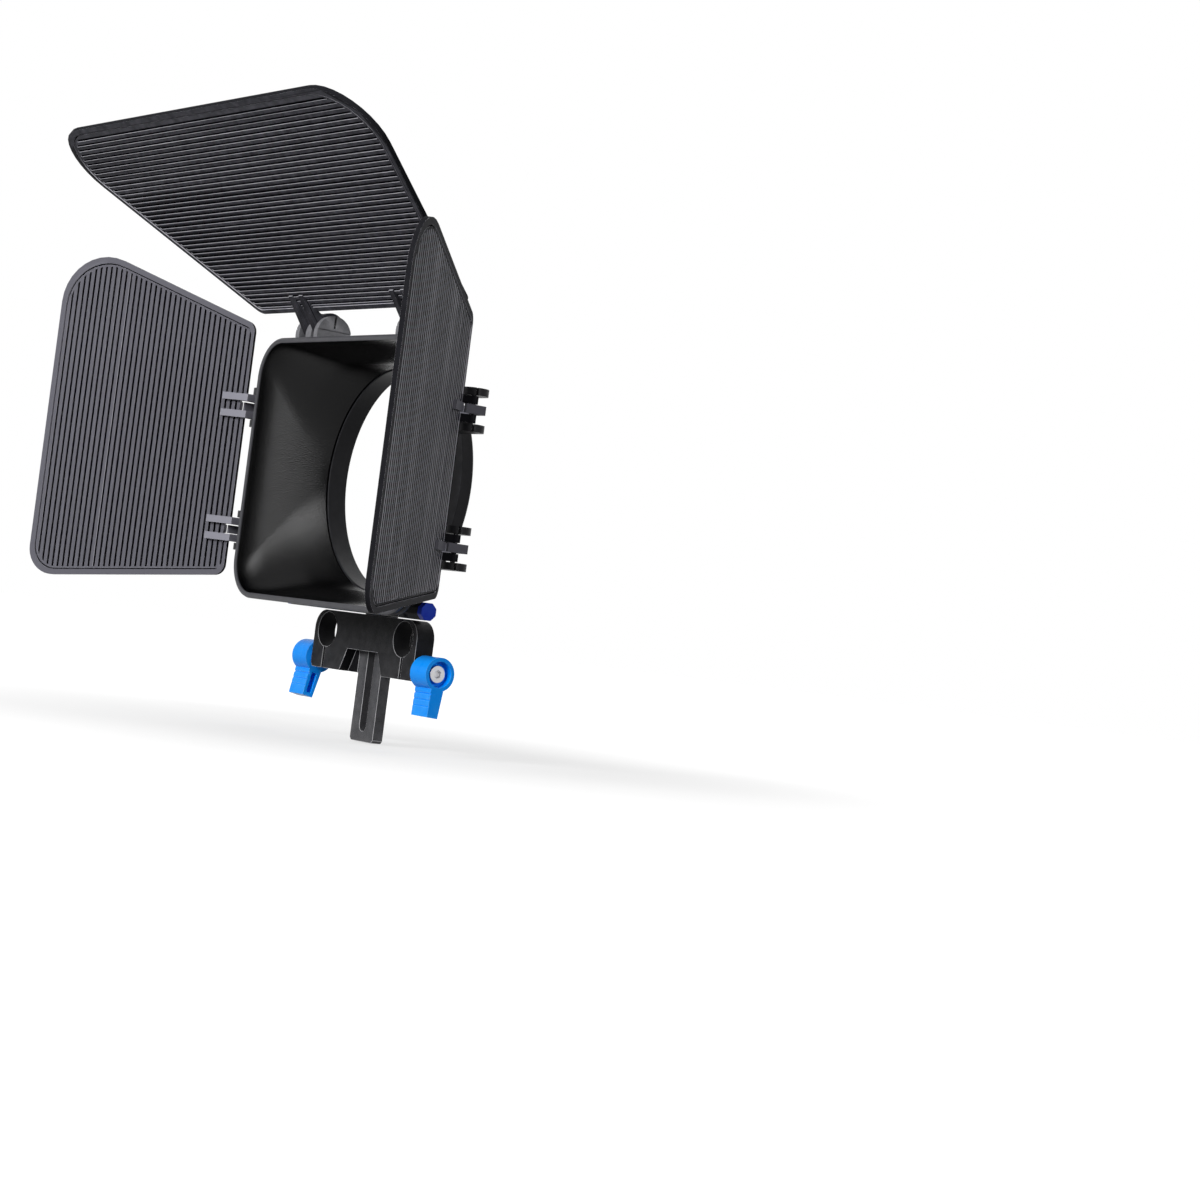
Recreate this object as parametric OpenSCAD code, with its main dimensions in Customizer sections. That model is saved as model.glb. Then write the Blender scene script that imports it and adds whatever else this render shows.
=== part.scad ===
// Matte box for 15 mm rods: hood with two side flags and a top flag,
// on a slotted height bar held by a split rod clamp.
// Millimetres, +Z up, the hood looks along -Y.
// Origin: lens axis at the rear face of the hood's rear ring.

/* [Hood] */
// Width of the front rim
hood_w = 142.6; // [136:0.2:150]
// Height of the front rim
hood_h = 113.8; // [110:0.2:116]
// Depth from the front rim to the rear face of the rear ring
hood_depth = 38; // [37:0.5:44]
// Outer corner radius of the front rim
rim_corner = 17; // [12:1:22]
// Depth of the straight band behind the front rim
rim_band = 5; // [4:0.5:6]
// Wall of the moulded hood
hood_wall = 2.4; // [1.8:0.2:3]
// Distance from the front rim to the waist where the taper ends
waist_y = 18; // [17:0.5:19]
// Half width of the hood at the waist
waist_half_w = 58; // [56:0.5:62]
// Corner radius of the hood at the waist
waist_corner = 38; // [34:1:44]
// Outer radius of the round rear end
rear_r = 50.3; // [49.5:0.1:50.5]
// Radius of the lens opening in the rear ring
lens_r = 47.5; // [44:0.5:47.5]
// Length of the rear ring
ring_len = 6; // [4:0.5:8]
// Length of the rear ring's spigot inside the hood
spigot_len = 3; // [2:0.5:4]
// Wall of the spigot
spigot_wall = 1; // [0.8:0.1:1.2]
// Clearance of the spigot in the hood's round end
spigot_play = 0.05; // [0.03:0.01:0.1]

/* [Hinges] */
// Half distance between the two side hinge axes
side_pin_x = 85.2; // [83:0.2:88]
// Distance of the side hinge axes behind the front rim
side_pin_y = 9.3; // [8:0.1:11]
// Height of the upper side hinge
hinge_high = 27.4; // [24:0.2:34]
// Height of the lower side hinge
hinge_low = -27.6; // [-34:0.2:-24]
// Half distance between the two top hinges
top_hinge_x = 40; // [34:0.5:46]
// Distance of the top hinge axis behind the front rim
top_pin_y = 12; // [11.5:0.1:13]
// Height of the top hinge axis above the lens axis
top_pin_z = 62.3; // [61:0.1:64]
// Half height of a side hinge's stop bar
side_lug_half = 1.8; // [1.2:0.1:2]
// Half thickness of the middle ear of a top hinge
top_lug_half = 2.2; // [1.6:0.1:2.4]
// Thickness of one flag arm along the pin
arm_t = 3.1; // [2:0.1:3.5]
// Thickness of one outer ear along the pin
ear_t = 3; // [2:0.1:4]
// Side gap between neighbouring hinge knuckles
knuckle_gap = 0.4; // [0.3:0.05:0.6]
// Radius of a side hinge pin
side_pin_r = 1; // [0.8:0.05:1.1]
// Radius of a top hinge pin
top_pin_r = 1.5; // [1.2:0.1:2]
// Running clearance of an arm on its pin
pin_play = 0.05; // [0.02:0.01:0.09]
// Wall left in an ear over the end of its pin
pin_skin = 0.8; // [0.6:0.1:1]
// Width of the spring slit in an ear
slit_w = 0.9; // [0.5:0.1:1.2]
// Outer radius of a side arm's knuckle
side_knuckle_r = 1.95; // [1.8:0.05:2.1]
// Radius of the rounded end of a side ear
side_ear_r = 5.3; // [4.8:0.1:5.4]
// Set-back of the side ear's round end from the pin, inwards
side_ear_in = 2.6; // [2:0.1:3.5]
// Set-back of the side ear's round end from the pin, rearwards
side_ear_back = 2.3; // [2:0.1:2.6]
// Thickness of the stop bar outside a side pin
stop_bar_t = 1.5; // [1.2:0.1:2]
// Gap between a side pin and its stop bar
stop_bar_gap = 0.4; // [0.3:0.1:0.6]
// Reach of the stop bar in front of the side pin
stop_bar_front = 4.8; // [4.2:0.1:5]
// Reach of the stop bar behind the side pin
stop_bar_back = 4.6; // [4.2:0.1:5]
// Radius of a top ear
top_ear_r = 8.5; // [8.2:0.1:9]
// Drop of the top ear's centre below the top pin
top_ear_drop = 3.1; // [2.8:0.1:3.4]

/* [Flags] */
// Thickness of a flag at its border
flag_t = 2; // [1.8:0.1:2.6]
// Length of a side flag from its hinge edge to its free edge
side_len = 98.5; // [85:0.5:110]
// Lower end of a side flag's hinge edge
side_bottom = -48; // [-52:0.5:-44]
// Upper end of a side flag's hinge edge
side_top = 63.9; // [58:0.1:64.5]
// Fall of a side flag's lower edge over its length
side_fall = 10.8; // [0:0.2:16]
// Rise of a side flag's upper edge over its length
side_rise = 33.3; // [20:0.1:34]
// Corner radius at the upper free corner of a flag
big_corner = 22; // [14:1:30]
// Corner radius at the lower free corner of a side flag
low_corner = 12; // [6:1:16]
// Corner radius at the hinge end of a flag
hinge_corner = 5; // [3:0.5:7]
// Distance from a side pin to its flag's hinge edge, along the flag
side_edge = 2.9; // [2.7:0.1:3.4]
// Distance of a side flag's middle plane inside its pin
side_offset = 4.4; // [4.2:0.1:5]
// Opening angle of the left flag from straight ahead
left_open = 56; // [20:0.2:80]
// Opening angle of the right flag from straight ahead
right_open = 42; // [20:0.2:80]
// Width of the top flag at its hinge edge
top_w_hinge = 161.4; // [150:0.2:164]
// Width of the top flag at its free edge
top_w_free = 258.8; // [220:0.2:270]
// Length of the top flag
top_len = 112; // [95:0.2:120]
// Distance from the top pin to the top flag's hinge edge
top_edge = 10.4; // [10.4:0.1:12]
// Rise of the top flag from straight ahead
top_open = 34; // [28:0.5:70]
// Height of the top flag's underside above its pin
top_offset = 0.4; // [0.2:0.1:0.8]
// Width of the raised rim round a flag
rim_w = 2.4; // [1.5:0.1:3]
// Height of the raised rim over the flag's face
rim_step = 0.2; // [0.1:0.05:0.25]
// Width of the thin groove along the inside of the rim
rim_groove_w = 0.5; // [0.4:0.05:0.8]
// Plain border round the ribbed field
border = 3.6; // [3.2:0.1:7]
// Plain border of a side flag along its hinge edge
hinge_border = 1.4; // [1.2:0.1:4]
// Pitch of the ribs
rib_pitch = 2.62; // [2.2:0.02:4]
// Width of a groove between two ribs
groove_w = 1.05; // [0.6:0.05:1.3]
// Depth of a groove
groove_depth = 0.35; // [0.2:0.05:0.4]
// Depth of the notch in a side flag round its stop bar
notch_len = 5.4; // [5.2:0.1:6]
// Reach of a side arm along the flag from the hinge edge
side_arm_len = 10.6; // [10:0.1:16]
// Height of a side arm above the flag's inner face
side_arm_h = 2; // [1:0.1:3]
// Thickness of the strap on a side flag's outer face, beside its stop bar
strap_t = 1.2; // [0.8:0.1:1.6]
// Length of that strap from the notch
strap_len = 11.4; // [8:0.2:14]
// Radius of a top arm's knuckle
top_knuckle_r = 6.8; // [6:0.1:7.4]
// Distance from the top pin to a top arm's far end
top_arm_reach = 20; // [18:0.5:26]

/* [Height bar] */
// Width of the slotted height bar
bar_w = 18; // [14:0.5:22]
// Thickness of the height bar
bar_t = 5; // [4:0.2:6]
// Lower end of the height bar
bar_bottom = -111.2; // [-118:0.2:-104]
// Lower end of the slot above the bar's lower end
slot_margin = 4.4; // [3.5:0.1:8]
// Width of the slot
slot_w = 5.2; // [5.2:0.1:6]
// Length of the slot left free above the lock stud
slot_spare = 3; // [2:0.1:3.4]
// Height of the mounting plate under the hood
plate_h = 6.5; // [5.5:0.1:6.8]
// Gap between the hood and the mounting plate
plate_gap = 0.3; // [0.2:0.05:0.5]
// Half width of the mounting plate
plate_half_w = 37.5; // [36:0.1:39]
// Thickness of the hood's side lug beside the plate
side_lug_t = 3.5; // [3:0.1:5]
// Width across the flats of the side thumb screws' eight-sided heads
thumb_flats = 7.2; // [6:0.1:7.2]
// Length of the side thumb screws' heads
thumb_len = 13; // [8:0.5:20]
// Shank radius of the side thumb screws
thumb_shank_r = 1.5; // [1.2:0.1:1.8]
// Distance of the thumb screws behind the front rim
thumb_y = 21.8; // [21.8:0.1:24]

/* [Rod clamp] */
// Distance between the two support rods
rod_spacing = 60; // [56:1:64]
// Diameter of the support rods
rod_d = 15; // [14:0.1:16]
// Height of the rods below the lens axis
rod_drop = 65.9; // [65.9:0.1:67]
// Front face of the clamp behind the front rim
clamp_y = 27.1; // [26.6:0.1:27.4]
// Depth of the clamp along the rods
clamp_depth = 8.6; // [8.2:0.1:9]
// Extra thickness of the pad behind the clamp that guides the bar
pad_t = 1.3; // [1:0.1:2]
// Half width of that pad
pad_half_w = 22; // [16:0.5:22.4]
// Wall beside a rod bore
bore_wall = 2.8; // [2.6:0.1:4]
// Radius of the clamp's upper outer corners
clamp_corner = 8; // [4:0.5:8]
// Radius of the jaws' lower corners
jaw_corner = 2.4; // [1.6:0.1:3]
// Height of the clamp's top above the rod axis
clamp_top = 8.4; // [8.3:0.1:8.5]
// Depth of the jaws below the rod axis
jaw_drop = 16.7; // [16.4:0.1:20]
// Width of the slit in a jaw
jaw_slit = 1.4; // [1:0.1:2]
// Half width of the recess between the jaws at its mouth
arch_half = 16.8; // [15:0.1:18]
// Half width of the recess at its top
arch_top_half = 12; // [10:0.5:13]
// Top of the recess below the rod axis
arch_drop = 7; // [6.5:0.1:8]
// Distance of the jaw bolts below the rod axis
bolt_drop = 12.4; // [12:0.1:13]
// Distance of the jaw bolts behind the middle of the clamp
bolt_back = 0.6; // [0:0.1:1]
// Radius of the jaw bolts
bolt_r = 2; // [1.5:0.1:2.2]
// Clearance round bolts and studs
bolt_play = 0.08; // [0.04:0.01:0.1]
// Radius of a lever's head
lever_r = 7; // [6.5:0.1:7.8]
// Length of a lever's head
lever_len = 11.8; // [10:0.1:14]
// Reach of a lever's wing from its axis
lever_reach = 18; // [15:0.2:18.4]
// Thickness of a lever's wing at its head
wing_t = 6.1; // [5:0.1:7]
// Thickness of a lever's wing at its end
wing_end_t = 5.1; // [4:0.1:6]
// Forward turn of the left lever
left_lever_turn = 12; // [-20:1:20]
// Forward turn of the right lever
right_lever_turn = 4; // [-20:1:20]
// Radius of the recess in a lever's head
recess_r = 5.4; // [4.5:0.1:5.6]
// Depth of the recess in a lever's head
recess_depth = 4.4; // [3:0.1:6]
// Gap between a lever and the clamp
lever_gap = 1.1; // [0.8:0.1:1.4]
// Radius of the lock knob
knob_r = 8; // [7:0.2:8.4]
// Length of the lock knob
knob_len = 12; // [8:0.5:16]
// Number of lobes on the lock knob
knob_lobes = 6; // [5:1:8]
// Radius of the lock stud
stud_r = 2.4; // [2:0.1:2.5]
// Wall left in front of the lock stud's hole in the clamp
stud_wall = 1.6; // [1:0.1:2]

/* [Hidden] */
$fn = 48;
// Reach past a face so that a cut goes right through it
over = 1;
// Segments of the circles inside a hull
hull_fn = 32;

black = [0.09, 0.09, 0.1];
flag_grey = [0.19, 0.19, 0.21];
metal_black = [0.13, 0.13, 0.14];
blue = [0.05, 0.45, 0.95];
steel = [0.62, 0.63, 0.65];

// Places along Y, measured from the origin at the rear face
front_y = -hood_depth;
pin_y = front_y + side_pin_y;
top_y = front_y + top_pin_y;
thumb_axis_y = front_y + thumb_y;
clamp_front = front_y + clamp_y;
clamp_back = clamp_front + clamp_depth;
pad_back = clamp_back + pad_t;
bar_front = pad_back - bar_t;
waist_at = front_y + waist_y;

// Stack of a hinge along its pin, measured from the hinge's middle
side_arm_near = side_lug_half + knuckle_gap;
side_arm_far = side_arm_near + arm_t;
side_ear_near = side_arm_far + knuckle_gap;
side_ear_far = side_ear_near + ear_t;
top_arm_near = top_lug_half + knuckle_gap;
top_arm_far = top_arm_near + arm_t;
top_ear_near = top_arm_far + knuckle_gap;
top_ear_far = top_ear_near + ear_t;
side_ear_reach = side_pin_x - side_ear_in - waist_half_w + hood_wall / 2;
pin_end_gap = 0.1;

// Heights of the plate, the bar and the clamp
plate_top = -rear_r - plate_gap;
plate_bottom = plate_top - plate_h;
thumb_z = plate_bottom + thumb_flats / 2;
rod_z = -rod_drop;
clamp_top_z = rod_z + clamp_top;
jaw_bottom = rod_z - jaw_drop;
bolt_z = rod_z - bolt_drop;
rod_r = rod_d / 2;
clamp_half_w = rod_spacing / 2 + rod_r + bore_wall;
bolt_y = (clamp_front + clamp_back) / 2 + bolt_back;
bolt_in = arch_half + 2;
lever_in = clamp_half_w + lever_gap;
slot_bottom = bar_bottom + slot_margin + slot_w / 2;
slot_top = rod_z + slot_spare;
lug_in = plate_half_w + plate_gap;
lug_out = lug_in + side_lug_t;
washer_t = 1;
thumb_bite = 8;
screw_bite = 6;
screw_r = 1.25;
screw_head_r = 2.2;
screw_head_t = 2;
screw_z = (plate_top + plate_bottom) / 2;

// A point of an arc round a centre
function on_arc(c, r, a) = [c[0] + r * cos(a), c[1] + r * sin(a)];

// Unit vector from one point to another
function unit(a, b) = (b - a) / norm(b - a);

// Points of the rounded corner at b, between the neighbours a and c
function corner(a, b, c, r, n) =
    let (u = unit(b, a), v = unit(b, c))
    let (half = acos(u * v) / 2)
    let (m = b + (u + v) / norm(u + v) * r / sin(half))
    let (s = b + u * r / tan(half) - m, e = b + v * r / tan(half) - m)
    let (a0 = atan2(s[1], s[0]), turn = atan2(e[1], e[0]) - a0)
    let (sweep = turn > 180 ? turn - 360 : turn < -180 ? turn + 360 : turn)
    [for (i = [0 : n]) on_arc(m, r, a0 + sweep * i / n)];

// Outline with rounded corners from its sharp corners and their radii
function rounded(p, r) =
    [for (i = [0 : len(p) - 1])
        each corner(p[(i + len(p) - 1) % len(p)], p[i], p[(i + 1) % len(p)], r[i], 10)];

// Rounded rectangle across the lens axis, from y on by t
module section(w, h, r, y, t) {
    for (sx = [-1, 1], sz = [-1, 1])
        translate([sx * (w / 2 - r), y, sz * (h / 2 - r)])
            rotate([-90, 0, 0])
                cylinder(r = r, h = t, $fn = hull_fn);
}

// Round disc across the lens axis
module disc(r, y, t) {
    translate([0, y, 0])
        rotate([-90, 0, 0])
            cylinder(r = r, h = t, $fn = 96);
}

// Hood body: band, taper to the waist, round rear; shrunk by the wall inside
module hood_body(inset, lead, tail) {
    waist_h = 2 * rear_r;
    thin = 0.2;
    hull() {
        section(hood_w - 2 * inset, hood_h - 2 * inset, rim_corner - inset,
            front_y - lead, rim_band + lead);
        section(2 * (waist_half_w - inset), waist_h - 2 * inset, waist_corner - inset,
            waist_at, thin);
    }
    hull() {
        section(2 * (waist_half_w - inset), waist_h - 2 * inset, waist_corner - inset,
            waist_at, thin);
        disc(rear_r - inset, -ring_len - 4, 4 + tail);
    }
}

// Round-ended side ear reaching from inside the hood wall
module side_ear(z) {
    translate([side_pin_x - side_ear_in, pin_y + side_ear_back, z]) {
        cylinder(r = side_ear_r, h = ear_t);
        translate([-side_ear_reach, -side_ear_r, 0])
            cube([side_ear_reach, 2 * side_ear_r, ear_t]);
    }
}

// Ears and stop bar of one right-hand side hinge
module side_hinge(zc) {
    side_ear(zc + side_ear_near);
    side_ear(zc - side_ear_far);
    bar_x = side_pin_x + side_pin_r + stop_bar_gap;
    foot_x = waist_half_w - hood_wall / 2;
    translate([bar_x, pin_y - stop_bar_front, zc - side_lug_half])
        cube([stop_bar_t, stop_bar_front + stop_bar_back, 2 * side_lug_half]);
    translate([foot_x, pin_y + stop_bar_back - stop_bar_t, zc - side_lug_half])
        cube([bar_x + stop_bar_t - foot_x, stop_bar_t, 2 * side_lug_half]);
}

// Pin bore and spring slits of one right-hand side hinge
module side_hinge_cuts(zc) {
    translate([side_pin_x, pin_y, zc - side_ear_far + pin_skin])
        cylinder(r = side_pin_r, h = 2 * (side_ear_far - pin_skin));
    for (z = [zc + side_ear_near, zc - side_ear_far])
        translate([side_pin_x, pin_y - slit_w / 2, z - over / 4])
            cube([side_ear_r, slit_w, ear_t + over / 2]);
}

// One upright ear of a top hinge
module top_ear(x, t, r) {
    ear_z = top_pin_z - top_ear_drop;
    foot = ear_z - rear_r + hood_wall + 6;
    translate([x, top_y, ear_z])
        rotate([0, 90, 0])
            cylinder(r = r, h = t, $fn = 72);
    translate([x, top_y - r, ear_z - foot])
        cube([t, 2 * r, foot]);
}

// Ears of one top hinge centred at x
module top_hinge(x) {
    top_ear(x - top_ear_far, ear_t, top_ear_r);
    top_ear(x + top_ear_near, ear_t, top_ear_r);
    top_ear(x - top_lug_half, 2 * top_lug_half, top_ear_r - 1);
}

// Pin bore and spring slits of one top hinge
module top_hinge_cuts(x) {
    translate([x - top_ear_far + pin_skin, top_y, top_pin_z])
        rotate([0, 90, 0])
            cylinder(r = top_pin_r, h = 2 * (top_ear_far - pin_skin));
    for (near = [x - top_ear_far, x + top_ear_near])
        translate([near - over / 4, top_y - slit_w / 2, top_pin_z])
            cube([ear_t + over / 2, slit_w, top_ear_r]);
}

// Lug of the hood beside the mounting plate, right-hand side
module hood_side_lug() {
    translate([lug_in, waist_at + 0.5, plate_bottom])
        cube([side_lug_t, 2 * (thumb_axis_y - waist_at - 0.5), plate_h + 18]);
}

module hood() {
    color(black)
        difference() {
            union() {
                hood_body(0, 0, 0);
                for (side = [0, 1])
                    mirror([side, 0, 0]) {
                        side_hinge(hinge_high);
                        side_hinge(hinge_low);
                        hood_side_lug();
                    }
                top_hinge(-top_hinge_x);
                top_hinge(top_hinge_x);
            }
            hood_body(hood_wall, over, over);
            translate([0, -ring_len - spigot_len, 0])
                rotate([-90, 0, 0])
                    cylinder(r = lens_r + spigot_wall + spigot_play, h = ring_len + spigot_len + over,
                        $fn = 96);
            translate([-hood_w / 2, -ring_len, -hood_h / 2])
                cube([hood_w, ring_len + over, hood_h]);
            for (side = [0, 1])
                mirror([side, 0, 0]) {
                    side_hinge_cuts(hinge_high);
                    side_hinge_cuts(hinge_low);
                    translate([plate_half_w, thumb_axis_y, thumb_z])
                        rotate([0, 90, 0])
                            cylinder(r = thumb_shank_r + bolt_play, h = side_lug_t + plate_gap + over);
                }
            top_hinge_cuts(-top_hinge_x);
            top_hinge_cuts(top_hinge_x);
        }
}

module rear_ring() {
    color(black)
        rotate([90, 0, 0])
            rotate_extrude($fn = 96)
                polygon([
                    [lens_r, 0], [rear_r - 0.8, 0], [rear_r, 0.8], [rear_r, ring_len],
                    [lens_r + spigot_wall, ring_len],
                    [lens_r + spigot_wall, ring_len + spigot_len],
                    [lens_r, ring_len + spigot_len]
                ]);
}

// Upright pin of one side hinge, blind in the outer ears
module side_pin(sx, zc) {
    reach = side_ear_far - pin_skin - pin_end_gap;
    color(metal_black)
        translate([sx * side_pin_x, pin_y, zc - reach])
            cylinder(r = side_pin_r, h = 2 * reach);
}

// Lying pin of one top hinge, blind in the outer ears
module top_pin(x) {
    reach = top_ear_far - pin_skin - pin_end_gap;
    color(metal_black)
        translate([x - reach, top_y, top_pin_z])
            rotate([0, 90, 0])
                cylinder(r = top_pin_r, h = 2 * reach);
}

module left_upper_hinge_pin() { side_pin(-1, hinge_high); }
module left_lower_hinge_pin() { side_pin(-1, hinge_low); }
module right_upper_hinge_pin() { side_pin(1, hinge_high); }
module right_lower_hinge_pin() { side_pin(1, hinge_low); }
module left_top_hinge_pin() { top_pin(-top_hinge_x); }
module right_top_hinge_pin() { top_pin(top_hinge_x); }

// Ribbed plate: outline o, inside of the rim m, inside of the rim's groove g, ribbed field f,
// grooves from first to last
module ribbed_plate(o, m, g, f, first, last, low, high) {
    skin = rim_step + groove_depth;
    difference() {
        linear_extrude(flag_t)
            polygon(o);
        for (z = [-over, flag_t - rim_step])
            translate([0, 0, z])
                linear_extrude(rim_step + over)
                    polygon(m);
        for (z = [-over, flag_t - skin])
            translate([0, 0, z])
                linear_extrude(skin + over)
                    difference() {
                        polygon(m);
                        polygon(g);
                    }
        for (z = [-over, flag_t - skin])
            translate([0, 0, z])
                intersection() {
                    linear_extrude(skin + over)
                        polygon(f);
                    for (u = [first : rib_pitch : last])
                        translate([u, low, 0])
                            cube([groove_w, high - low, skin + over]);
                }
    }
}

// Corners of a side flag in its own plane, drawn in by i, and by h at the hinge edge
function side_shape(i, h) =
    let (fall = side_fall / side_len, rise = side_rise / side_len)
    let (b = i * sqrt(1 + fall * fall), t = i * sqrt(1 + rise * rise))
    rounded([
        [h, side_bottom - fall * h + b],
        [side_len - i, side_bottom - fall * (side_len - i) + b],
        [side_len - i, side_top + rise * (side_len - i) - t],
        [h, side_top + rise * h - t]
    ], [hinge_corner, low_corner, big_corner, hinge_corner] - [1, 1, 1, 1] * i * 0.6);

// Side flag laid out: X along the flag from its pin, Y up, Z inwards
module side_flag_flat() {
    face = side_offset + flag_t / 2;
    difference() {
        translate([side_edge, 0, side_offset - flag_t / 2])
            ribbed_plate(side_shape(0, 0), side_shape(rim_w, hinge_border),
                side_shape(rim_w + rim_groove_w, hinge_border - over),
                side_shape(border, hinge_border), hinge_border, side_len - border,
                side_bottom - side_fall, side_top + side_rise);
        for (zc = [hinge_high, hinge_low])
            translate([0, zc - side_arm_near, 0])
                cube([notch_len, 2 * side_arm_near, face + over]);
    }
    for (zc = [hinge_high, hinge_low])
        translate([notch_len, zc - side_lug_half, side_offset - flag_t / 2 - strap_t])
            cube([strap_len, 2 * side_lug_half, strap_t + flag_t / 2]);
    for (zc = [hinge_high, hinge_low], s = [-1, 1])
        translate([0, zc + s * (side_arm_near + side_arm_far) / 2, 0])
            rotate([-90, 0, 0])
                translate([0, 0, -arm_t / 2])
                    difference() {
                        union() {
                            cylinder(r = side_knuckle_r, h = arm_t);
                            linear_extrude(arm_t)
                                polygon([
                                    [-side_knuckle_r, 0], [-side_knuckle_r, -face - side_arm_h + 3],
                                    [-side_knuckle_r + 3, -face - side_arm_h],
                                    [side_edge + side_arm_len, -face - side_arm_h],
                                    [side_edge + side_arm_len, -face + flag_t / 2],
                                    [side_edge, -face + flag_t],
                                    [side_knuckle_r, 0]
                                ]);
                        }
                        translate([0, 0, -over])
                            cylinder(r = side_pin_r + pin_play, h = arm_t + 2 * over);
                    }
}

module left_flag() {
    color(flag_grey)
        translate([-side_pin_x, pin_y, 0])
            rotate([0, 0, -90 - left_open])
                rotate([90, 0, 0])
                    mirror([0, 0, 1])
                        side_flag_flat();
}

module right_flag() {
    color(flag_grey)
        translate([side_pin_x, pin_y, 0])
            rotate([0, 0, -90 + right_open])
                rotate([90, 0, 0])
                    side_flag_flat();
}

// Corners of the top flag in its own plane, drawn in by an inset
function top_shape(i) =
    let (flare = (top_w_free - top_w_hinge) / 2 / top_len)
    let (s = i * sqrt(1 + flare * flare), a = top_w_hinge / 2)
    rounded([
        [i, -a - flare * i + s],
        [top_len - i, -a - flare * (top_len - i) + s],
        [top_len - i, a + flare * (top_len - i) - s],
        [i, a + flare * i - s]
    ], [hinge_corner, big_corner, big_corner, hinge_corner] - [1, 1, 1, 1] * i * 0.6);

// Top flag laid out: X along the flag from its pin, Y across, Z up
module top_flag_flat() {
    translate([top_edge, 0, top_offset])
        ribbed_plate(top_shape(0), top_shape(rim_w), top_shape(rim_w + rim_groove_w),
            top_shape(border), border, top_len - border, -top_w_free / 2, top_w_free / 2);
    for (x = [-top_hinge_x, top_hinge_x], s = [-1, 1])
        translate([0, x + s * (top_arm_near + top_arm_far) / 2 - arm_t / 2, 0])
            rotate([-90, 0, 0])
                top_arm();
}

// One arm of the top flag: knuckle and a gusset under the flag
module top_arm() {
    lean = asin(top_knuckle_r / top_arm_reach);
    difference() {
        union() {
            cylinder(r = top_knuckle_r, h = arm_t);
            linear_extrude(arm_t)
                polygon([
                    [0, -top_offset - flag_t / 2], [top_arm_reach, -top_offset - flag_t / 2],
                    [top_arm_reach, -top_offset],
                    [top_knuckle_r * sin(lean), top_knuckle_r * cos(lean)]
                ]);
        }
        translate([0, 0, -over])
            cylinder(r = top_pin_r + pin_play, h = arm_t + 2 * over);
    }
}

module top_flag() {
    color(flag_grey)
        translate([0, top_y, top_pin_z])
            rotate([-top_open, 0, 0])
                rotate([0, 0, -90])
                    top_flag_flat();
}

// Metal plate under the hood; the height bar is screwed to its rear face
module mounting_plate() {
    color(metal_black)
        difference() {
            translate([-plate_half_w, waist_at + 0.5, plate_bottom])
                cube([2 * plate_half_w, bar_front - waist_at - 0.5, plate_h]);
            for (side = [0, 1])
                mirror([side, 0, 0])
                    translate([plate_half_w - thumb_bite, thumb_axis_y, thumb_z])
                        rotate([0, 90, 0])
                            cylinder(r = thumb_shank_r, h = thumb_bite + over);
            for (sx = [-1, 1])
                translate([sx * bar_w / 4, bar_front - screw_bite, screw_z])
                    rotate([-90, 0, 0])
                        cylinder(r = screw_r, h = screw_bite + over);
        }
}

module height_bar() {
    edge = 1.2;
    color(metal_black)
        difference() {
            translate([0, bar_front, 0])
                rotate([-90, 0, 0])
                    linear_extrude(bar_t)
                        polygon([
                            [-bar_w / 2, -plate_top], [bar_w / 2, -plate_top],
                            [bar_w / 2, -bar_bottom - edge], [bar_w / 2 - edge, -bar_bottom],
                            [-bar_w / 2 + edge, -bar_bottom], [-bar_w / 2, -bar_bottom - edge]
                        ]);
            translate([-slot_w / 2, bar_front - over, slot_bottom])
                cube([slot_w, bar_t + 2 * over, slot_top - slot_bottom]);
            for (z = [slot_bottom, slot_top])
                translate([0, bar_front - over, z])
                    rotate([-90, 0, 0])
                        cylinder(r = slot_w / 2, h = bar_t + 2 * over);
            for (sx = [-1, 1])
                translate([sx * bar_w / 4, bar_front - over, screw_z])
                    rotate([-90, 0, 0]) {
                        cylinder(r = screw_r + bolt_play, h = bar_t + 2 * over);
                        translate([0, 0, over + bar_t - screw_head_t])
                            cylinder(r = screw_head_r + bolt_play, h = screw_head_t + over);
                    }
        }
}

module bar_screws() {
    color(steel)
        for (sx = [-1, 1])
            translate([sx * bar_w / 4, bar_front + bar_t, screw_z])
                rotate([90, 0, 0])
                    difference() {
                        union() {
                            cylinder(r = screw_head_r, h = screw_head_t);
                            cylinder(r = screw_r, h = bar_t + screw_bite - 0.4);
                        }
                        translate([0, 0, -over])
                            cylinder(r = 1.2, h = over + 1.1, $fn = 6);
                    }
}

// Slim eight-sided thumb screw from the side, right-hand
module thumb_screw() {
    color(blue)
        translate([lug_out + 0.2, thumb_axis_y, thumb_z])
            rotate([0, 90, 0]) {
                rotate([0, 0, 22.5])
                    cylinder(r = thumb_flats / 2 / cos(22.5), h = thumb_len, $fn = 8);
                translate([0, 0, -side_lug_t - plate_gap - thumb_bite + 0.2])
                    cylinder(r = thumb_shank_r, h = side_lug_t + plate_gap + thumb_bite);
            }
}

module right_thumb_screw() { thumb_screw(); }
module left_thumb_screw() { mirror([1, 0, 0]) thumb_screw(); }

// Outline of the clamp in X and Z about the rods' height, right half
module clamp_half() {
    difference() {
        translate([-over, -jaw_drop])
            square([clamp_half_w + over, jaw_drop + clamp_top]);
        translate([clamp_half_w - clamp_corner, clamp_top - clamp_corner])
            difference() {
                square(clamp_corner + over);
                circle(r = clamp_corner, $fn = 72);
            }
        translate([clamp_half_w - jaw_corner, jaw_corner - jaw_drop])
            difference() {
                translate([0, -jaw_corner - over])
                    square(jaw_corner + over);
                circle(r = jaw_corner);
            }
    }
}

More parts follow.
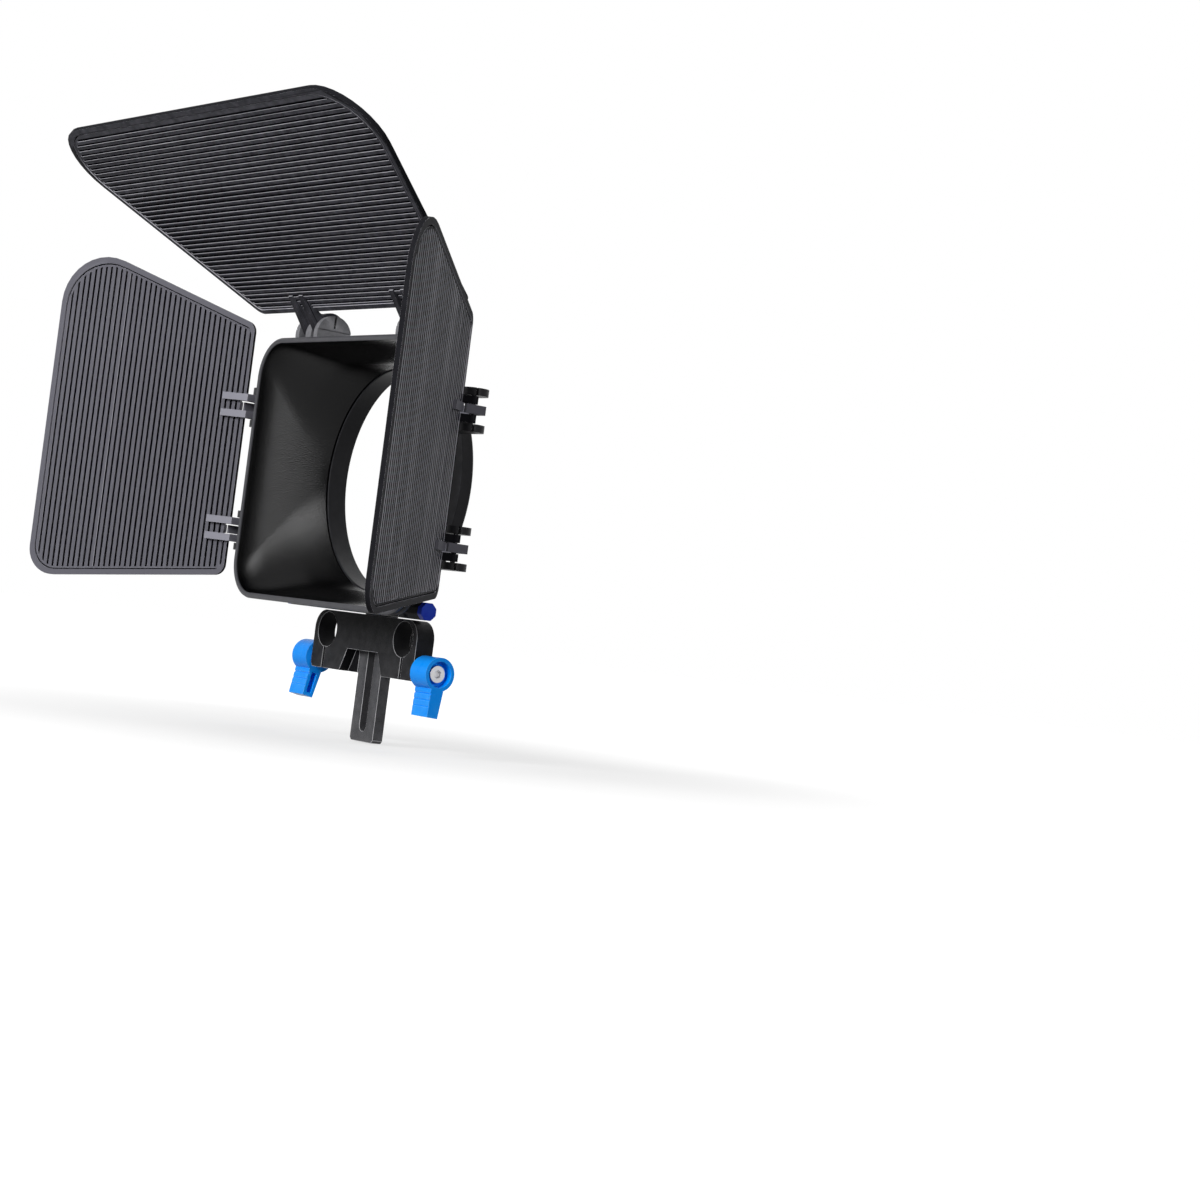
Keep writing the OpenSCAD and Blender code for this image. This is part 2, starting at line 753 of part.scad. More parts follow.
module rod_clamp() {
    color(metal_black)
        difference() {
            union() {
                translate([0, clamp_back, rod_z])
                    rotate([90, 0, 0])
                        linear_extrude(clamp_depth) {
                            clamp_half();
                            mirror([1, 0]) clamp_half();
                        }
                translate([-pad_half_w, clamp_back - over, jaw_bottom])
                    cube([2 * pad_half_w, pad_t + over, jaw_drop + clamp_top]);
            }
            translate([0, bar_front - 0.2, rod_z])
                rotate([90, 0, 0])
                    linear_extrude(clamp_depth)
                        polygon([
                            [-arch_half - 0.5, -jaw_drop - over], [-arch_half, -jaw_drop],
                            [-arch_top_half, -arch_drop], [arch_top_half, -arch_drop],
                            [arch_half, -jaw_drop], [arch_half + 0.5, -jaw_drop - over]
                        ]);
            translate([-bar_w / 2 - 0.2, bar_front - 0.2, jaw_bottom - over])
                cube([bar_w + 0.4, bar_t + over, jaw_drop + clamp_top + 2 * over]);
            translate([0, clamp_front + stud_wall, rod_z])
                rotate([-90, 0, 0])
                    cylinder(r = stud_r + bolt_play, h = clamp_depth + pad_t);
            for (side = [0, 1])
                mirror([side, 0, 0]) {
                    translate([rod_spacing / 2, clamp_front - over, rod_z])
                        rotate([-90, 0, 0])
                            cylinder(r = rod_r, h = clamp_depth + 2 * over, $fn = 72);
                    translate([rod_spacing / 2, clamp_front - over, jaw_bottom - over])
                        cube([jaw_slit, clamp_depth + 2 * over, jaw_drop + over - rod_r / 2]);
                    translate([bolt_in, bolt_y, bolt_z])
                        rotate([0, 90, 0])
                            cylinder(r = bolt_r + bolt_play, h = clamp_half_w + over - bolt_in);
                }
        }
}

// Clamping lever about its own axis: head with a recess, wing with grip grooves
module lever() {
    difference() {
        union() {
            rotate([0, 90, 0])
                cylinder(r = lever_r, h = lever_len, $fn = 72);
            rotate([90, 0, 90])
                linear_extrude(lever_len)
                    polygon([
                        [-wing_t / 2, 0], [-wing_t / 2, -lever_r],
                        [-wing_end_t / 2, -lever_reach], [wing_end_t / 2, -lever_reach],
                        [wing_t / 2, -lever_r], [wing_t / 2, 0]
                    ]);
        }
        translate([lever_len - recess_depth, 0, 0])
            rotate([0, 90, 0])
                cylinder(r = recess_r, h = recess_depth + over);
        translate([-over, 0, 0])
            rotate([0, 90, 0])
                cylinder(r = bolt_r + bolt_play, h = lever_len + 2 * over);
        for (i = [0 : 2])
            translate([-over, -wing_t / 2 - 0.4, -lever_r - 1.8 - 2.6 * i])
                cube([lever_len + 2 * over, 0.8, 0.7]);
        translate([-over, 1.3 - wing_end_t / 2, 1.6 - lever_reach])
            cube([4 + over, wing_end_t - 2.6, lever_reach - lever_r - 2.2]);
    }
}

module right_lever() {
    color(blue)
        translate([lever_in, bolt_y, bolt_z])
            rotate([-right_lever_turn, 0, 0])
                lever();
}

module left_lever() {
    color(blue)
        translate([-lever_in, bolt_y, bolt_z])
            rotate([-left_lever_turn, 0, 0])
                mirror([1, 0, 0])
                    lever();
}

// Socket cap screw through the lever and the outer jaw into the inner jaw
module jaw_bolt() {
    start = bolt_in + 0.5;
    seat = lever_in + lever_len - recess_depth;
    color(steel)
        translate([start, bolt_y, bolt_z])
            rotate([0, 90, 0])
                difference() {
                    union() {
                        cylinder(r = bolt_r, h = seat - start);
                        translate([0, 0, seat - start])
                            cylinder(r = bolt_r + 1.6, h = 2.6);
                    }
                    translate([0, 0, seat - start + 1.2])
                        cylinder(r = 1.7, h = 2.6, $fn = 6);
                }
}

module right_jaw_bolt() { jaw_bolt(); }
module left_jaw_bolt() { mirror([1, 0, 0]) jaw_bolt(); }

module jaw_washer() {
    color(steel)
        translate([clamp_half_w, bolt_y, bolt_z])
            rotate([0, 90, 0])
                difference() {
                    cylinder(r = bolt_r + 2.4, h = lever_gap - 0.05);
                    translate([0, 0, -over])
                        cylinder(r = bolt_r + bolt_play, h = lever_gap + 2 * over);
                }
}

module right_jaw_washer() { jaw_washer(); }
module left_jaw_washer() { mirror([1, 0, 0]) jaw_washer(); }

// Lobed knob behind the clamp that presses the height bar into its channel
module lock_knob() {
    color(metal_black)
        translate([0, pad_back + washer_t + 0.05, rod_z])
            rotate([-90, 0, 0])
                difference() {
                    union() {
                        cylinder(r = knob_r * 0.6, h = 2);
                        translate([0, 0, 2])
                            cylinder(r = knob_r, h = knob_len - 2, $fn = 72);
                    }
                    for (i = [0 : knob_lobes - 1])
                        rotate([0, 0, i * 360 / knob_lobes])
                            translate([knob_r + 1.2, 0, 2 - over / 2])
                                cylinder(r = 2.8, h = knob_len + over);
                    translate([0, 0, -over])
                        cylinder(r = stud_r, h = knob_len - 2 + over);
                }
}

module lock_stud() {
    color(steel)
        translate([0, clamp_front + stud_wall + 0.2, rod_z])
            rotate([-90, 0, 0])
                cylinder(r = stud_r, h = pad_back + washer_t + knob_len - 2 - clamp_front - stud_wall - 0.4);
}

module lock_washer() {
    color(steel)
        translate([0, pad_back, rod_z])
            rotate([-90, 0, 0])
                difference() {
                    cylinder(r = knob_r * 0.75, h = washer_t);
                    translate([0, 0, -over])
                        cylinder(r = stud_r + bolt_play / 2, h = washer_t + 2 * over);
                }
}

hood();
rear_ring();
left_upper_hinge_pin();
left_lower_hinge_pin();
right_upper_hinge_pin();
right_lower_hinge_pin();
left_top_hinge_pin();
right_top_hinge_pin();
left_flag();
right_flag();
top_flag();
mounting_plate();
height_bar();
bar_screws();
left_thumb_screw();
right_thumb_screw();
rod_clamp();
left_lever();
right_lever();
left_jaw_bolt();
right_jaw_bolt();
left_jaw_washer();
right_jaw_washer();
lock_knob();
lock_stud();
lock_washer();
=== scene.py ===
import math
import bmesh
import bpy
from mathutils import Matrix, Vector


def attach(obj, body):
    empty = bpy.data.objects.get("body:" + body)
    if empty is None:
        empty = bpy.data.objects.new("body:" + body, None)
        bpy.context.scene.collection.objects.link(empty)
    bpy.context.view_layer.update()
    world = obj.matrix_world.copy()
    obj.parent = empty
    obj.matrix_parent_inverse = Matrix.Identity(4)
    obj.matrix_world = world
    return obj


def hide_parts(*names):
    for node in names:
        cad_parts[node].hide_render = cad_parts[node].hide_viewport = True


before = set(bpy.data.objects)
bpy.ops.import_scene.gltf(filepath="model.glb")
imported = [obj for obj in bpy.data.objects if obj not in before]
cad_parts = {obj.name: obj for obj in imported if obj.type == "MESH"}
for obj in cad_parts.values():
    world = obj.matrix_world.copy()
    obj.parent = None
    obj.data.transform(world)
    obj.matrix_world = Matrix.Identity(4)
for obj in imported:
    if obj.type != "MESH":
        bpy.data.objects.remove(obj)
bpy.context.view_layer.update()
print("frame loaded:", len(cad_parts), "nodes")

scene = bpy.context.scene
scene.view_settings.view_transform = "Standard"

tiny = 0.00001  # a distance that counts as none
nearlyOne = 0.999  # a share or a cosine that counts as whole

# camera, at the photo's viewing angle
photoView = {
    "place": (0.940778, -0.606154, -0.060716),
    "right": (0.60325, 0.78735, 0.12716),
    "up": (-0.06163, -0.11293, 0.99169),
    "lens": 78.72, "sensorWidth": 36, "nearest": 0.02,
}


def addCamera(view):
    right = Vector(view["right"]).normalized()
    up = Vector(view["up"]).normalized()
    back = right.cross(up).normalized()
    camera = bpy.data.objects.new("photoCamera", bpy.data.cameras.new("photoCamera"))
    scene.collection.objects.link(camera)
    turn = Matrix((right, up, back)).transposed().to_4x4()
    camera.matrix_world = Matrix.Translation(Vector(view["place"])) @ turn
    camera.data.sensor_fit = "HORIZONTAL"
    camera.data.sensor_width = view["sensorWidth"]
    camera.data.lens = view["lens"]
    camera.data.clip_start = view["nearest"]
    scene.camera = camera


addCamera(photoView)

# shader groups shared by the finishes: detail of each noise, and how strongly each effect shows
surfaceDetail = {
    "fine": 3, "broad": 4, "lines": 2, "rubScale": 240, "rubGain": 1.5, "grainUnderLines": 0.4,
}


def newGroup(name, inputs, outputs):
    group = bpy.data.node_groups.new(name, "ShaderNodeTree")
    for label, kind, value in inputs:
        socket = group.interface.new_socket(label, in_out="INPUT", socket_type=kind)
        socket.default_value = value
    for label, kind in outputs:
        group.interface.new_socket(label, in_out="OUTPUT", socket_type=kind)
    return group, group.nodes.new("NodeGroupInput"), group.nodes.new("NodeGroupOutput")


def placeGroup(tree, group, values):
    node = tree.nodes.new("ShaderNodeGroup")
    node.node_tree = group
    for label, value in values.items():
        node.inputs[label].default_value = value
    return node


def mathNode(tree, operation, first, second):
    node = tree.nodes.new("ShaderNodeMath")
    node.operation = operation
    for place, value in enumerate((first, second)):
        if isinstance(value, (int, float)):
            node.inputs[place].default_value = value
        else:
            tree.links.new(value, node.inputs[place])
    return node.outputs[0]


# each colour is a tuple, or the output of another node
def mixColours(tree, factor, first, second):
    mix = tree.nodes.new("ShaderNodeMix")
    mix.data_type = "RGBA"
    tree.links.new(factor, mix.inputs["Factor"])
    for label, colour in (("A", first), ("B", second)):
        if isinstance(colour, tuple):
            mix.inputs[label].default_value = (*colour, 1)
        else:
            tree.links.new(colour, mix.inputs[label])
    return mix.outputs["Result"]


# moulded or blasted grain: a fine height, and a slow tone change over the piece
def buildGrain(detail):
    group, groupIn, groupOut = newGroup(
        "surfaceGrain",
        [("Fine Scale", "NodeSocketFloat", 2600.0), ("Broad Scale", "NodeSocketFloat", 22.0)],
        [("Height", "NodeSocketFloat"), ("Tone", "NodeSocketFloat")],
    )
    where = group.nodes.new("ShaderNodeTexCoord")
    for kind, label, result in (("fine", "Fine Scale", "Height"), ("broad", "Broad Scale", "Tone")):
        noise = group.nodes.new("ShaderNodeTexNoise")
        noise.inputs["Detail"].default_value = detail[kind]
        group.links.new(where.outputs["Object"], noise.inputs["Vector"])
        group.links.new(groupIn.outputs[label], noise.inputs["Scale"])
        group.links.new(noise.outputs[0], groupOut.inputs[result])
    return group


# brushing or turning lines along one axis
def buildScratches(detail):
    group, groupIn, groupOut = newGroup(
        "toolLines",
        [("Scale", "NodeSocketFloat", 900.0), ("Stretch", "NodeSocketVector", (1.0, 1.0, 0.03))],
        [("Lines", "NodeSocketFloat")],
    )
    where = group.nodes.new("ShaderNodeTexCoord")
    squeeze = group.nodes.new("ShaderNodeVectorMath")
    squeeze.operation = "MULTIPLY"
    noise = group.nodes.new("ShaderNodeTexNoise")
    noise.inputs["Detail"].default_value = detail["lines"]
    group.links.new(where.outputs["Object"], squeeze.inputs[0])
    group.links.new(groupIn.outputs["Stretch"], squeeze.inputs[1])
    group.links.new(squeeze.outputs[0], noise.inputs["Vector"])
    group.links.new(groupIn.outputs["Scale"], noise.inputs["Scale"])
    group.links.new(noise.outputs[0], groupOut.inputs["Lines"])
    return group


# lighter rubbed edges, broken up by noise
def buildEdgeRub(detail):
    group, groupIn, groupOut = newGroup(
        "edgeRub",
        [("Start", "NodeSocketFloat", 0.52), ("Full", "NodeSocketFloat", 0.62)],
        [("Mask", "NodeSocketFloat")],
    )
    shape = group.nodes.new("ShaderNodeNewGeometry")
    spread = group.nodes.new("ShaderNodeMapRange")
    group.links.new(shape.outputs["Pointiness"], spread.inputs["Value"])
    group.links.new(groupIn.outputs["Start"], spread.inputs["From Min"])
    group.links.new(groupIn.outputs["Full"], spread.inputs["From Max"])
    where = group.nodes.new("ShaderNodeTexCoord")
    noise = group.nodes.new("ShaderNodeTexNoise")
    noise.inputs["Scale"].default_value = detail["rubScale"]
    group.links.new(where.outputs["Object"], noise.inputs["Vector"])
    broken = mathNode(group, "MULTIPLY", spread.outputs[0], noise.outputs[0])
    group.links.new(mathNode(group, "MULTIPLY", broken, detail["rubGain"]), groupOut.inputs["Mask"])
    return group


grainGroup = buildGrain(surfaceDetail)
linesGroup = buildScratches(surfaceDetail)
rubGroup = buildEdgeRub(surfaceDetail)


def finish(name, look):
    material = bpy.data.materials.new(name)
    material.use_nodes = True
    tree = material.node_tree
    shader = tree.nodes["Principled BSDF"]
    shader.inputs["Metallic"].default_value = look.get("metallic", 0)
    shader.inputs["Specular IOR Level"].default_value = look.get("specular", 0.5)
    grain = placeGroup(
        tree, grainGroup, {"Fine Scale": look["fineScale"], "Broad Scale": look["broadScale"]}
    )
    rub = placeGroup(tree, rubGroup, {})

    tint = mixColours(tree, grain.outputs["Tone"], look["dark"], look["light"])
    wear = mathNode(tree, "MULTIPLY", rub.outputs["Mask"], look["wear"])
    tree.links.new(mixColours(tree, wear, tint, look["edge"]), shader.inputs["Base Color"])

    gloss = tree.nodes.new("ShaderNodeMapRange")
    gloss.inputs["To Min"].default_value = look["rough"][0]
    gloss.inputs["To Max"].default_value = look["rough"][1]
    tree.links.new(grain.outputs["Tone"], gloss.inputs["Value"])
    tree.links.new(gloss.outputs[0], shader.inputs["Roughness"])

    bump = tree.nodes.new("ShaderNodeBump")
    bump.inputs["Strength"].default_value = look["bump"]
    bump.inputs["Distance"].default_value = look["depth"]
    height = grain.outputs["Height"]
    if "lines" in look:
        lines = placeGroup(
            tree, linesGroup, {"Scale": look["lineScale"], "Stretch": look["lines"]}
        )
        under = mathNode(tree, "MULTIPLY", height, surfaceDetail["grainUnderLines"])
        height = mathNode(tree, "ADD", lines.outputs["Lines"], under)
    tree.links.new(height, bump.inputs["Height"])
    tree.links.new(bump.outputs[0], shader.inputs["Normal"])
    return material


finishes = {
    "hoodBlack": {
        "dark": (0.009, 0.009, 0.010), "light": (0.014, 0.014, 0.016), "edge": (0.10, 0.10, 0.11),
        "wear": 0.7, "rough": (0.34, 0.42), "specular": 0.1, "fineScale": 2400,
        "broadScale": 30, "bump": 0.3, "depth": 0.0002,
    },
    # grey rim face over the hood's black plastic: painted light where the front face of the rim
    # catches the lamps
    "rimPaintedLight": {
        "dark": (0.040, 0.040, 0.045), "light": (0.058, 0.058, 0.065), "edge": (0.2, 0.2, 0.22),
        "wear": 0.5, "rough": (0.36, 0.44), "specular": 0.25, "fineScale": 2400,
        "broadScale": 60, "bump": 0.25, "depth": 0.0002,
    },
    "hoodInside": {
        "dark": (0.0012, 0.0012, 0.0014), "light": (0.0018, 0.0018, 0.0021),
        "edge": (0.01, 0.01, 0.01),
        "wear": 0.1, "rough": (0.2, 0.26), "specular": 0.16, "fineScale": 2000,
        "broadScale": 24, "bump": 0.5, "depth": 0.0003,
    },
    # top ears in light grey though moulded of the hood's black plastic: painted light on their lit
    # faces
    "earPaintedLight": {
        "dark": (0.11, 0.11, 0.12), "light": (0.22, 0.22, 0.235), "edge": (0.4, 0.4, 0.42),
        "wear": 0.5, "rough": (0.42, 0.5), "specular": 0.2, "fineScale": 1500,
        "broadScale": 600, "bump": 0.5, "depth": 0.0004,
    },
    # lit copy of the flags' black plastic: lighter charcoal, painted light on the faces turned to
    # the lamps
    "flagLitCharcoal": {
        "dark": (0.125, 0.123, 0.145), "light": (0.142, 0.140, 0.164), "edge": (0.2, 0.2, 0.23),
        "wear": 0.4, "rough": (0.38, 0.46), "specular": 0.05, "fineScale": 2800,
        "broadScale": 26, "bump": 0.2, "depth": 0.00012,
    },
    # shaded copy of the same plastic, near black: painted shade on faces turned away from the lamps
    "flagShadedDark": {
        "dark": (0.009, 0.009, 0.011), "light": (0.014, 0.014, 0.017), "edge": (0.2, 0.2, 0.23),
        "wear": 0.4, "rough": (0.42, 0.5), "specular": 0.01, "fineScale": 2800,
        "broadScale": 26, "bump": 0.2, "depth": 0.00012,
    },
    # near-black groove floors between the ribs: painted shade
    "flagGrooveShade": {
        "dark": (0.0015, 0.0015, 0.002), "light": (0.002, 0.002, 0.003), "edge": (0.02, 0.02, 0.02),
        "wear": 0.1, "rough": (0.5, 0.6), "specular": 0.0, "fineScale": 2800,
        "broadScale": 26, "bump": 0.15, "depth": 0.00012,
    },
    # bright finish on the rib crests' soft edges and low walls: painted highlight
    "flagEdge": {
        "dark": (0.46, 0.455, 0.50), "light": (0.62, 0.615, 0.67), "edge": (0.7, 0.7, 0.75),
        "wear": 0.2, "rough": (0.34, 0.40), "specular": 0.2, "fineScale": 2800,
        "broadScale": 500, "bump": 0.1, "depth": 0.0001,
    },
    # pale lavender arms of the side flags, the same black plastic as the top flag's arms: painted
    # reflection
    "armPaintedReflection": {
        "dark": (0.25, 0.247, 0.29), "light": (0.28, 0.277, 0.32), "edge": (0.4, 0.4, 0.44),
        "wear": 0.3, "rough": (0.34, 0.40), "specular": 0.2, "fineScale": 2800,
        "broadScale": 90, "bump": 0.15, "depth": 0.0001,
    },
    "armBlack": {
        "dark": (0.010, 0.010, 0.012), "light": (0.014, 0.014, 0.017), "edge": (0.08, 0.08, 0.09),
        "wear": 0.5, "rough": (0.5, 0.6), "specular": 0.004, "fineScale": 2600,
        "broadScale": 60, "bump": 0.2, "depth": 0.0001,
    },
    "clampBlack": {
        "dark": (0.0035, 0.0035, 0.004), "light": (0.0125, 0.0125, 0.0142),
        "edge": (0.2, 0.2, 0.21),
        "wear": 0.4, "rough": (0.38, 0.48), "specular": 0.03, "fineScale": 2200,
        "broadScale": 1900, "bump": 0.7, "depth": 0.0003,
    },
    "barSpeckle": {
        "dark": (0.002, 0.002, 0.0025), "light": (0.08, 0.08, 0.088), "edge": (0.3, 0.3, 0.31),
        "wear": 0.5, "rough": (0.4, 0.5), "specular": 0.12, "fineScale": 2200,
        "broadScale": 2600, "bump": 0.8, "depth": 0.0004,
    },
    # bright finish on the soft edges of the black metal parts: painted highlight
    "clampEdgeHighlight": {
        "dark": (0.22, 0.22, 0.23), "light": (0.75, 0.75, 0.78), "edge": (0.8, 0.8, 0.82),
        "wear": 0.5, "rough": (0.3, 0.4), "specular": 0.5, "fineScale": 2400,
        "broadScale": 500, "bump": 0.2, "depth": 0.0001,
    },
    "blueAnodised": {
        "dark": (0.0, 0.25, 1.0), "light": (0.0, 0.33, 1.0), "edge": (0.1, 0.5, 1.0),
        "wear": 0.5, "rough": (0.24, 0.32), "specular": 0.08, "fineScale": 3600,
        "broadScale": 60, "bump": 0.1, "depth": 0.0001,
    },
    # paler blue on the levers' soft edges: painted highlight
    "blueEdgeHighlight": {
        "dark": (0.06, 0.40, 1.0), "light": (0.14, 0.52, 1.0), "edge": (0.3, 0.7, 1.0),
        "wear": 0.5, "rough": (0.22, 0.3), "specular": 0.5, "fineScale": 3600,
        "broadScale": 200, "bump": 0.1, "depth": 0.0001,
    },
    # deeper navy than the levers' anodised blue: painted shade where the hood shadows the thumb
    # screws
    "thumbShadedBlue": {
        "dark": (0.004, 0.022, 0.42), "light": (0.008, 0.036, 0.58), "edge": (0.08, 0.2, 0.9),
        "wear": 0.5, "rough": (0.26, 0.36), "specular": 0.12, "fineScale": 3600,
        "broadScale": 60, "bump": 0.12, "depth": 0.0001,
    },
    "turnedSteel": {
        "dark": (0.42, 0.42, 0.44), "light": (0.58, 0.58, 0.6), "edge": (0.8, 0.8, 0.8),
        "wear": 0.3, "rough": (0.26, 0.38), "metallic": 1.0, "fineScale": 3000, "broadScale": 120,
        "bump": 0.3, "depth": 0.00008, "lines": (1.0, 1.0, 0.05), "lineScale": 1400,
    },
}
materials = {name: finish(name, look) for name, look in finishes.items()}
print("finishes made:", len(materials))

# making pieces: how an edge is told from a curve, in degrees, and how round a soft edge is
edgeRound = {"sharp": 35, "segments": 2}
nodeCopy = {"merge": 0.000002, "flat": 0.4}  # merging distance, and degrees within a flat face


def cleanMesh(bm):
    bmesh.ops.remove_doubles(bm, verts=bm.verts, dist=tiny)
    bmesh.ops.recalc_face_normals(bm, faces=bm.faces)


def softEdge(piece, width, materialIndex=-1):
    bevel = piece.modifiers.new("softEdge", "BEVEL")
    bevel.width = width
    bevel.segments = edgeRound["segments"]
    bevel.limit_method = "ANGLE"
    bevel.angle_limit = math.radians(edgeRound["sharp"])
    bevel.harden_normals = True
    bevel.material = materialIndex
    return bevel


def addPiece(name, bm, body, material, sharp=edgeRound["sharp"]):
    mesh = bpy.data.meshes.new(name)
    bm.to_mesh(mesh)
    bm.free()
    for face in mesh.polygons:
        face.use_smooth = True
    mesh.set_sharp_from_angle(angle=math.radians(sharp))
    mesh.materials.append(materials[material])
    piece = bpy.data.objects.new(name, mesh)
    scene.collection.objects.link(piece)
    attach(piece, body)
    return piece


# a copy of a CAD node's shape, merged and with its flat faces whole, ready for soft edges
def nodeShape(node):
    bm = bmesh.new()
    bm.from_mesh(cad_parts[node].data)
    bmesh.ops.remove_doubles(bm, verts=bm.verts, dist=nodeCopy["merge"])
    bmesh.ops.dissolve_limit(
        bm, angle_limit=math.radians(nodeCopy["flat"]), verts=bm.verts, edges=bm.edges,
        delimit={"NORMAL"},
    )
    return bm


# hood shell: rounded rectangle at the front, round at the back
hoodShape = {
    "halfWide": 0.0713, "halfHigh": 0.0569, "corner": 0.017, "rearRadius": 0.0503,
    "front": -0.038, "bandEnd": -0.033, "waist": -0.020, "taperEnd": -0.010, "rear": -0.006,
    "wideBow": 1.2, "highBow": 1.15, "wall": 0.0024, "rimDeep": 0.0008, "sharp": 50,
    # the rim from its groove to inside its mouth: how far in, and how far behind the front
    "rim": (
        (0.0, 0.0030), (0.0004, 0.0026), (0.0, 0.0022), (0.0, 0.0009), (0.00027, 0.00027),
        (0.0009, 0.0), (0.0019, 0.0), (0.0023, 0.0002), (0.0024, 0.0007),
    ),
    "insideStart": 0.0012, "insideSteps": 16, "ease": 0.0045,
    "ringSeat": 0.04855, "ringFront": -0.009, "segments": 120, "steps": 12,
    "plugAhead": 0.01, "plugEnd": 0.002,
}


def ringAt(bm, halfWide, halfHigh, corner, y, segments):
    made = bmesh.ops.create_circle(bm, segments=segments, radius=1)
    bmesh.ops.rotate(bm, verts=made["verts"], matrix=Matrix.Rotation(math.pi / segments, 3, "Z"))
    for vert in made["verts"]:
        across, high = vert.co.x, vert.co.y
        vert.co = (
            math.copysign(halfWide - corner, across) + corner * across,
            y,
            math.copysign(halfHigh - corner, high) + corner * high,
        )
    own = set(made["verts"])
    return [edge for edge in bm.edges if all(vert in own for vert in edge.verts)]


def hoodSection(shape, y):
    along = max(0.0, (y - shape["bandEnd"]) / (shape["taperEnd"] - shape["bandEnd"]))
    behind = max(0.0, y - shape["bandEnd"]) / (shape["waist"] - shape["bandEnd"])
    narrow, drop = max(0.0, 1 - along), max(0.0, 1 - behind)
    rear = shape["rearRadius"]
    halfWide = rear + (shape["halfWide"] - rear) * narrow ** shape["wideBow"]
    halfHigh = rear + (shape["halfHigh"] - rear) * drop ** shape["highBow"]
    corner = shape["corner"] + (rear - shape["corner"]) * min(1.0, along)
    return halfWide, halfHigh, min(corner, halfHigh, halfWide)


def taperPlaces(shape):
    length = shape["taperEnd"] - shape["bandEnd"]
    return [shape["bandEnd"] + length * i / shape["steps"] for i in range(shape["steps"] + 1)]


# depth behind the band, eased so that the inside has no crease where the taper starts
def easedDepth(depth, ease):
    if abs(depth) < ease:
        return (depth + ease) ** 2 / (4 * ease)
    return max(depth, 0)


# rows of half width, half height, corner radius and place, from the rear round to the inside
def hoodRows(shape):
    rows = [(*hoodSection(shape, y), y) for y in reversed(taperPlaces(shape) + [shape["rear"]])]
    wide, high, corner = shape["halfWide"], shape["halfHigh"], shape["corner"]
    for inset, behind in shape["rim"]:
        rows.append((wide - inset, high - inset, corner - inset, shape["front"] + behind))
    wall, start = shape["wall"], shape["insideStart"]
    for i in range(shape["insideSteps"] + 1):
        share = (shape["taperEnd"] - shape["front"] - start) * i / shape["insideSteps"]
        y = shape["front"] + start + share
        depth = easedDepth(y - shape["bandEnd"], shape["ease"])
        wide, high, corner = hoodSection(shape, shape["bandEnd"] + depth)
        rows.append((wide - wall, high - wall, corner - wall, y))
    ring = shape["ringSeat"]
    return rows + [(ring, ring, ring, y) for y in (shape["ringFront"], shape["rear"])]


def buildHood(shape):
    bm = bmesh.new()
    loops = [ringAt(bm, *row, shape["segments"]) for row in hoodRows(shape)]
    for first, second in zip(loops, loops[1:] + loops[:1]):
        bmesh.ops.bridge_loops(bm, edges=first + second)
    cleanMesh(bm)
    bm.normal_update()
    for face in bm.faces:
        middle = face.calc_center_median()
        outward = Vector((middle.x, 0, middle.z)).dot(face.normal)
        # the rim's front face takes the grey finish: painted light
        if middle.y < shape["front"] + shape["rimDeep"]:
            face.material_index = 2
        elif outward < 0:
            face.material_index = 1
    piece = addPiece("hoodShell", bm, "hood_body", "hoodBlack", shape["sharp"])
    for extra in ("hoodInside", "rimPaintedLight"):
        piece.data.materials.append(materials[extra])
    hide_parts("hood")


buildHood(hoodShape)
print("hood shell made")

# hinge ears on the hood
sideHinge = {
    "pin": (0.0852, -0.0287), "heights": (0.0274, -0.0276), "near": 0.0057, "thick": 0.003,
    "radius": 0.0053, "sides": 56, "setIn": 0.0026, "setBack": 0.0023, "reach": 0.0222,
    "slit": 0.0009, "slitDeep": 0.008, "slitOver": 0.001, "soft": 0.00028,
    "barFront": 0.0048, "barBack": 0.0046, "barThick": 0.0015, "barHalf": 0.0018,
    "barGap": 0.0014, "barRoot": 0.0585, "barStep": 0.0002,
}
topHinge = {
    "places": (-0.040, 0.040), "pin": (-0.026, 0.0623), "drop": 0.0031, "radius": 0.0085,
    "sides": 72, "lugHalf": 0.0022, "lugLess": 0.001, "near": 0.0060, "thick": 0.003,
    "foot": 0.0105, "slit": 0.0012, "slitHigh": 0.012, "slitOver": 0.001,
    "line": 0.0004, "lineHalf": 0.0095, "lineDrop": 0.001, "soft": 0.0003,
}


def boxSolid(bm, low, high):
    made = bmesh.ops.create_cube(bm, size=1)
    low, high = Vector(low), Vector(high)
    bmesh.ops.scale(bm, verts=made["verts"], vec=high - low)
    bmesh.ops.translate(bm, verts=made["verts"], vec=(low + high) / 2)


# gives the disc that was just made its thickness, and returns the new points
def thicken(bm, disc, height):
    up = bmesh.ops.extrude_face_region(bm, geom=[disc[0].link_faces[0]])
    lifted = [v for v in up["geom"] if isinstance(v, bmesh.types.BMVert)]
    bmesh.ops.translate(bm, verts=lifted, vec=(0, 0, height))
    return lifted


# a disc in X and Y whose far half is pulled away to make a round-ended strip, then given height
def strip(bm, centre, part, low):
    made = bmesh.ops.create_circle(
        bm, cap_ends=True, segments=part["sides"], radius=part["radius"]
    )
    for vert in made["verts"]:
        if vert.co.x < tiny:
            vert.co.x = min(vert.co.x, 0) - part["reach"]
    bmesh.ops.translate(bm, verts=made["verts"], vec=(*centre, low))
    thicken(bm, made["verts"], part["thick"])


